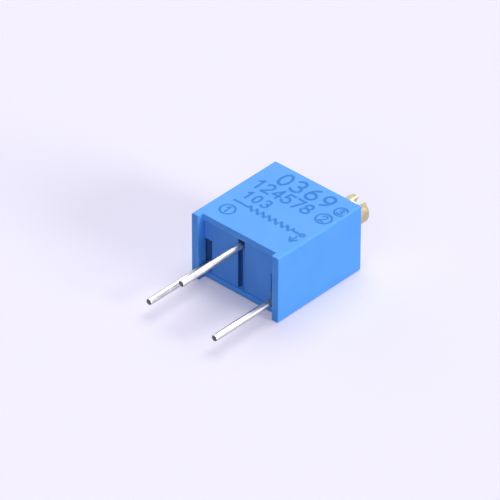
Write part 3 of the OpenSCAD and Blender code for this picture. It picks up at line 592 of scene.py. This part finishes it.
class Finish:
    """A material's nodes: a Principled surface, and patterns that read Object coordinates in mm."""

    def __init__(self, name, colour, roughness, metallic=0.0, specular=0.5):
        self.material = bpy.data.materials.new(name)
        self.material.use_nodes = True
        self.tree = self.material.node_tree
        self.surface = self.tree.nodes["Principled BSDF"]
        self.surface.inputs["Base Color"].default_value = colour
        self.surface.inputs["Roughness"].default_value = roughness
        self.surface.inputs["Metallic"].default_value = metallic
        self.surface.inputs["Specular IOR Level"].default_value = specular
        self.colour = None
        self.flat_colour = colour
        self.height = None
        place = self.tree.nodes.new("ShaderNodeTexCoord")
        self.scale = self.tree.nodes.new("ShaderNodeMapping")
        self.scale.inputs["Scale"].default_value = (1000, 1000, 1000)
        self.link(place.outputs["Object"], self.scale.inputs["Vector"])
        self.place = self.scale.outputs["Vector"]

    def link(self, a, b):
        self.tree.links.new(a, b)

    def stretched(self, sx, sy, sz, at=(0, 0, 0)):
        """Object coordinates in mm, moved and stretched."""
        node = self.tree.nodes.new("ShaderNodeMapping")
        node.inputs["Location"].default_value = at
        node.inputs["Scale"].default_value = (sx, sy, sz)
        self.link(self.place, node.inputs["Vector"])
        return node.outputs["Vector"]

    def grain(self, per_mm, detail=3.0, rough=0.55, vector=None, low=0.35, high=0.65):
        """Noise with so many lumps a millimetre, spread out to the range from 0 to 1."""
        noise = self.tree.nodes.new("ShaderNodeTexNoise")
        noise.inputs["Scale"].default_value = per_mm
        noise.inputs["Detail"].default_value = detail
        noise.inputs["Roughness"].default_value = rough
        self.link(vector or self.place, noise.inputs["Vector"])
        return self.spread(noise.outputs["Fac"], low, high, 0, 1)

    def spread(self, value, low, high, to_low, to_high):
        """A value's range from low to high, carried over to another range."""
        node = self.tree.nodes.new("ShaderNodeMapRange")
        ends = {"From Min": low, "From Max": high, "To Min": to_low, "To Max": to_high}
        for name, number in ends.items():
            node.inputs[name].default_value = number
        self.link(value, node.inputs["Value"])
        return node.outputs["Result"]

    def marked(self, name):
        """The values of a piece's own attribute."""
        node = self.tree.nodes.new("ShaderNodeAttribute")
        node.attribute_name = name
        return node.outputs["Fac"]

    def tint(self, share, colour):
        """Mixes a colour in by a share."""
        mix = self.tree.nodes.new("ShaderNodeMix")
        mix.data_type = "RGBA"
        if self.colour is None:
            mix.inputs["A"].default_value = self.flat_colour
        else:
            self.link(self.colour, mix.inputs["A"])
        mix.inputs["B"].default_value = colour
        self.link(share, mix.inputs["Factor"])
        self.colour = mix.outputs["Result"]
        self.link(self.colour, self.surface.inputs["Base Color"])

    def dull(self, value, low, high):
        """Roughness from a value: low where it is 0, high where it is 1."""
        self.link(self.spread(value, 0, 1, low, high), self.surface.inputs["Roughness"])

    def rise(self, value, height_um, strength=1.0):
        """Bump of a height in thousandths of a millimetre, on top of the bumps before it."""
        bump = self.tree.nodes.new("ShaderNodeBump")
        bump.inputs["Strength"].default_value = strength
        bump.inputs["Distance"].default_value = height_um * 1e-6
        self.link(value, bump.inputs["Height"])
        if self.height is not None:
            self.link(self.height, bump.inputs["Normal"])
        self.height = bump.outputs["Normal"]
        self.link(self.height, self.surface.inputs["Normal"])


def moulded_blue():
    """Glass-filled moulding compound: a fine satin grain, faint flow clouds, and the darker marking."""
    f = Finish("moulded_blue", linear(89, 166, 246), 0.46, specular=0.3)
    f.tint(f.grain(0.55, 2, 0.5, low=0.3, high=0.7), linear(96, 171, 249))
    f.tint(f.spread(f.grain(9, 3, 0.6), 0, 1, 0, 0.16), linear(83, 158, 238))
    f.tint(f.marked("marking"), linear(20, 124, 207))
    f.dull(f.grain(14, 3, 0.6), 0.40, 0.52)
    f.rise(f.grain(30, 3, 0.6), 1.2, 0.6)
    f.rise(f.grain(5, 2, 0.5), 2.0, 0.5)
    return f.material


def plug_blue():
    """The plug's compound: a shade deeper and duller than the housing's, with pale flow streaks."""
    f = Finish("plug_blue", linear(96, 160, 240), 0.54, specular=0.25)
    f.tint(f.grain(1.1, 3, 0.5, f.stretched(1, 1, 0.35)), linear(88, 152, 234))
    f.tint(f.spread(f.grain(10, 3, 0.6), 0, 1, 0, 0.2), linear(106, 166, 240))
    f.dull(f.grain(12, 3, 0.6), 0.48, 0.62)
    f.rise(f.grain(26, 3, 0.6), 1.6, 0.7)
    return f.material


def potting_and_shade_finish():
    """Dark blue potting with a slumped skin. The same deep blue, matched to plastic in shadow, paints the
    shade sheets down the groove and up the slot walls.
    """
    f = Finish("potting_and_shade_finish", linear(34, 84, 152), 0.44, specular=0.25)
    f.tint(f.grain(3, 2, 0.5), linear(40, 80, 138))
    f.dull(f.grain(4, 2, 0.5), 0.32, 0.48)
    f.rise(f.grain(2.2, 1, 0.4), 10, 0.8)
    return f.material


def tinned_wire():
    """Bright tin over wire: drawn along its length, with dull specks and small waves, and a dark cut
    end."""
    f = Finish("tinned_wire", linear(226, 223, 218), 0.36, metallic=1.0)
    # the grey Specular Tint darkens the reflection at grazing angles: painted shade along the wire's edges
    f.surface.inputs["Specular Tint"].default_value = (0.30, 0.30, 0.31, 1)
    f.tint(f.grain(2.2, 3, 0.6, f.stretched(1, 0.25, 1)), linear(210, 207, 202))
    f.tint(f.spread(f.grain(18, 2, 0.5, low=0.62, high=0.72), 0, 1, 0, 0.4), linear(160, 157, 154))
    f.tint(f.marked("cut"), linear(104, 100, 106))
    f.dull(f.grain(6, 3, 0.6, f.stretched(1, 0.2, 1)), 0.28, 0.42)
    f.rise(f.grain(16, 2, 0.5, f.stretched(1, 0.06, 1)), 1.0, 0.5)
    f.rise(f.grain(2.5, 2, 0.5), 3.0, 0.4)
    return f.material


def turned_brass():
    """Yellow brass from the lathe: fine rings round the axis and a few duller patches."""
    f = Finish("turned_brass", linear(206, 196, 162), 0.32, metallic=1.0)
    f.tint(f.grain(1.6, 3, 0.5), linear(192, 180, 140))
    f.tint(f.spread(f.grain(12, 2, 0.5, low=0.6, high=0.75), 0, 1, 0, 0.5), linear(138, 122, 78))
    rings = f.tree.nodes.new("ShaderNodeTexWave")
    rings.wave_type, rings.rings_direction = "RINGS", "Y"
    rings.inputs["Scale"].default_value = 5.0
    rings.inputs["Distortion"].default_value = 0.6
    f.link(f.stretched(1, 1, 1, (-SCREW_X, 0, -SCREW_Z)), rings.inputs["Vector"])
    f.rise(rings.outputs["Fac"], 1.2, 0.5)
    f.dull(f.grain(5, 3, 0.6), 0.20, 0.36)
    return f.material


def plain_finish(name, colour, second, roughness, metallic=0.0, per_mm=6.0, height_um=2.0,
                 stretch=(1, 1, 1)):
    """A finish of two near shades in a grain that also lifts the surface."""
    f = Finish(name, colour, roughness, metallic)
    f.tint(f.grain(per_mm, 3, 0.55, f.stretched(*stretch)), second)
    f.dull(f.grain(per_mm * 1.7, 3, 0.6), roughness * 0.85, min(1, roughness * 1.2))
    f.rise(f.grain(per_mm * 3, 3, 0.6, f.stretched(*stretch)), height_um, 0.6)
    return f.material


def dress_inner_nodes():
    """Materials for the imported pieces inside, which show their own meshes."""
    steel, spring = linear(182, 184, 190), linear(214, 180, 108)
    for names, finish in (
        (("o_ring",), plain_finish("seal_rubber", linear(36, 35, 38), linear(46, 45, 48), 0.62, per_mm=9)),
        (("retaining_clip",), plain_finish("rolled_steel", steel, linear(160, 162, 170), 0.30, 1.0, 4, 1.5,
                                           (1, 1, 0.15))),
        (("worm_wheel",), plain_finish("wheel_ivory", linear(228, 224, 208), linear(216, 211, 194), 0.42,
                                       per_mm=5)),
        (("wiper",), plain_finish("sprung_alloy", spring, linear(196, 160, 92), 0.24, 1.0, 6, 1.0,
                                  (1, 0.2, 1))),
        (("ceramic_substrate",), plain_finish("fired_alumina", linear(236, 235, 228), linear(226, 224, 216),
                                              0.60, per_mm=14)),
        (("resistive_track",), plain_finish("cermet_ink", linear(46, 45, 48), linear(58, 56, 58), 0.50,
                                            per_mm=16, height_um=3)),
        (("solder_joint_1", "solder_joint_2", "solder_joint_3"),
         plain_finish("solder_tin", linear(196, 196, 200), linear(172, 172, 178), 0.28, 1.0, 5, 5)),
        (("collector_track", "termination_1", "termination_3"),
         plain_finish("silver_ink", linear(206, 204, 198), linear(190, 187, 180), 0.38, 1.0, 15, 3)),
    ):
        for name in names:
            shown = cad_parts[name].data
            shown.materials.clear()
            shown.materials.append(finish)


# ---- Pieces ---------------------------------------------------------------------------------------
HOUSING_FINISH, PLUG_FINISH, RESIN_AND_SHADE_FINISH = moulded_blue(), plug_blue(), potting_and_shade_finish()
PIN_FINISH, SCREW_FINISH = tinned_wire(), turned_brass()
dress_inner_nodes()
skin, marks = housing_skin()
mouldings = inner_mouldings()
unmarked = np.zeros(sum(len(p) for p, _ in mouldings))
piece("housing_shell", [shell(skin, close_rows=True)] + mouldings, HOUSING_FINISH, "body", ["housing"],
      marks={"marking": np.concatenate([marks.ravel(), unmarked])})
piece("plug", [plug_block(), tail_bearing()], PLUG_FINISH, "body", ["base_plug"])
# the potting in the slots, with painted shade sheets down the groove and up the slot walls
piece("resin_and_shade_sheets", resin_and_shade_sheets(), RESIN_AND_SHADE_FINISH, "body", ["slot_potting"], sharp=50)
for number, x, z in ((1, -PIN_X, PIN_LOW), (2, 0.0, PIN_HIGH), (3, PIN_X, PIN_LOW)):
    points, faces, cut = pin_wire(x, z)
    piece(f"pin_{number}", [(points, faces)], PIN_FINISH, "body", [f"terminal_pin_{number}"],
          marks={"cut": cut})
piece("screw", [screw_head(), screw_shaft(), worm_thread()], SCREW_FINISH, "screw", ["adjusting_screw"])


# ---- Floor, light and camera ----------------------------------------------------------------------
def seen_rays(tree):
    """1 for rays from the camera, off gloss and through glass, 0 for the soft light on matt surfaces."""
    path = tree.nodes.new("ShaderNodeLightPath")
    either = path.outputs["Is Camera Ray"]
    for name in ("Is Glossy Ray", "Is Transmission Ray"):
        add = tree.nodes.new("ShaderNodeMath")
        add.operation = "MAXIMUM"
        tree.links.new(either, add.inputs[0])
        tree.links.new(path.outputs[name], add.inputs[1])
        either = add.outputs["Value"]
    return either


def blended(tree, share, first, second):
    """One colour where the share is 0, the other where it is 1."""
    mix = tree.nodes.new("ShaderNodeMix")
    mix.data_type = "RGBA"
    mix.inputs["A"].default_value, mix.inputs["B"].default_value = first, second
    tree.links.new(share, mix.inputs["Factor"])
    return mix.outputs["Result"]


def floor():
    """A pale sweep under the part, 3 m wide, at the level of the resting face. It throws back less
    light than it shows, so that the part's walls keep their shade, and shines a little by itself
    where it is seen, as paper lit from below does, which softens the shadow."""
    gx, gy = np.meshgrid(np.linspace(-1.5, 1.5, 5), np.linspace(-1.5, 1.5, 5))
    points = np.stack([gx, gy, 0 * gx - 1e-6], -1).reshape(-1, 3)
    mesh = bpy.data.meshes.new("sweep")
    mesh.from_pydata(points.tolist(), [], wrapped(5, 5, False, False).tolist())
    made = bpy.data.objects.new("sweep", mesh)
    bpy.context.scene.collection.objects.link(made)
    pale, glow, bounce = np.array(linear(247, 241, 255)), 0.2, (0.20, 0.25, 0.42, 1)
    f = Finish("pale_sweep", tuple(pale), 0.9, specular=0.1)
    seen = seen_rays(f.tree)
    colour = blended(f.tree, seen, bounce, (*(pale[:3] * (1 - glow)), 1))
    f.link(colour, f.surface.inputs["Base Color"])
    f.surface.inputs["Emission Strength"].default_value = glow
    f.link(blended(f.tree, seen, (0, 0, 0, 1), tuple(pale)), f.surface.inputs["Emission Color"])
    mesh.materials.append(f.material)


def toward(azimuth, elevation):
    """The direction in which a camera or lamp stands: azimuth 0 is along -Y, and 90 along +X."""
    a, e = math.radians(azimuth), math.radians(elevation)
    return np.array([math.sin(a) * math.cos(e), -math.cos(a) * math.cos(e), math.sin(e)])


def lamp(name, azimuth, elevation, strength, spread):
    """A far lamp that shines from a direction and looks this wide in degrees."""
    light = bpy.data.lights.new(name, "SUN")
    light.energy, light.angle = strength, math.radians(spread)
    made = bpy.data.objects.new(name, light)
    bpy.context.scene.collection.objects.link(made)
    made.rotation_mode = "QUATERNION"
    made.rotation_quaternion = Vector(toward(azimuth, elevation)).to_track_quat("Z", "Y")


def backdrop():
    """The world: pale where it is seen, and a dim blue for the soft light that it throws."""
    world = bpy.data.worlds.new("studio")
    bpy.context.scene.world = world
    world.use_nodes = True
    tree = world.node_tree
    sky = tree.nodes["Background"]
    colour = blended(tree, seen_rays(tree), (0.02, 0.045, 0.11, 1), linear(250, 248, 255))
    tree.links.new(colour, sky.inputs["Color"])
    sky.inputs["Strength"].default_value = 1.0


def photo_camera(azimuth, elevation, roll, distance, aim, shift, focal_px, frame_px=500, sensor_mm=36):
    """A camera that looks at a point, in mm, from a direction and a distance. Roll turns the picture,
    the shift moves the camera to the right and up, and the focal length is in pixels of the frame."""
    a, r = math.radians(azimuth), math.radians(roll)
    back, across = toward(azimuth, elevation), np.array([math.cos(a), math.sin(a), 0.0])
    over = np.cross(back, across)
    right = across * math.cos(r) + over * math.sin(r)
    up = -across * math.sin(r) + over * math.cos(r)
    eye = (np.array(aim) + shift[0] * right + shift[1] * up + distance * back) * 0.001
    camera = bpy.data.objects.new("camera", bpy.data.cameras.new("camera"))
    bpy.context.scene.collection.objects.link(camera)
    camera.data.lens = focal_px / frame_px * sensor_mm
    camera.data.sensor_width = sensor_mm
    camera.data.clip_start, camera.data.clip_end = 0.01, 10
    axes = [(right[i], up[i], back[i], eye[i]) for i in range(3)]
    camera.matrix_world = Matrix(axes + [(0, 0, 0, 1)])
    bpy.context.scene.camera = camera


floor()
lamp("behind_and_above", 196, 62, 2.02, 55)
lamp("right", 100, 16, 2.14, 22)
lamp("front", 22, 30, 0.90, 60)
lamp("left", 262, 22, 0.46, 50)
backdrop()
photo_camera(42.4491, 35.8428, 0.1498, 304.2172, aim=(0, -0.555, 2.25), shift=(-1.153, -0.2623),
             focal_px=5307.04)
bpy.context.scene.view_settings.view_transform = "Standard"
